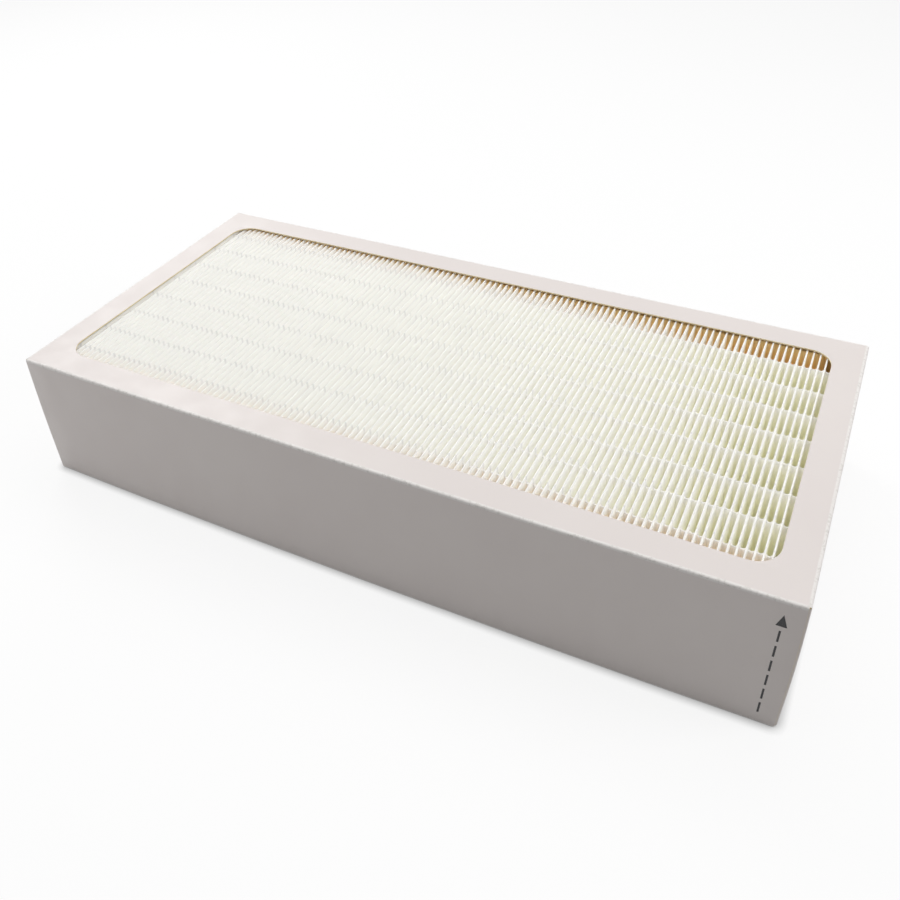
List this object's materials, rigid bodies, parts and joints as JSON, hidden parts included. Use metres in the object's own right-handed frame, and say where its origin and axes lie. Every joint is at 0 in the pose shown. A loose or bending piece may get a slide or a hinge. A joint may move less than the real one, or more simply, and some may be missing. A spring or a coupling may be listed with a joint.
{
  "type": "hepa filter panel",
  "caption": "Rectangular deep-pleat air filter panel: folded glass-fibre media with glue-bead separators in a two-piece folded paperboard frame.",
  "frame": {"origin": "centre of the rear window face, in the plane that the panel lies on", "axes": "+X along the long side, +Y along the short side, +Z through the panel from the rear window to the front window"},
  "size_m": [0.512, 0.243, 0.096],
  "materials": {
    "coated_board": "white clay-coated board, satin outside, brown inside and on cut edges",
    "filter_paper": "matte white glass-fibre paper",
    "separator_glue": "satin off-white hot-melt glue",
    "seal_adhesive": "amber hot-melt adhesive"
  },
  "bodies": {
    "root": {"front_tray": "coated_board", "rear_tray": "coated_board", "pleated_media": "filter_paper", "bead_row_1": "separator_glue", "bead_row_2": "separator_glue", "bead_row_3": "separator_glue", "bead_row_4": "separator_glue", "bead_row_5": "separator_glue", "bead_row_6": "separator_glue", "bead_row_7": "separator_glue", "bead_row_8": "separator_glue", "near_seal": "seal_adhesive", "far_seal": "seal_adhesive", "left_seal": "seal_adhesive", "right_seal": "seal_adhesive"}
  },
  "joints": []
}
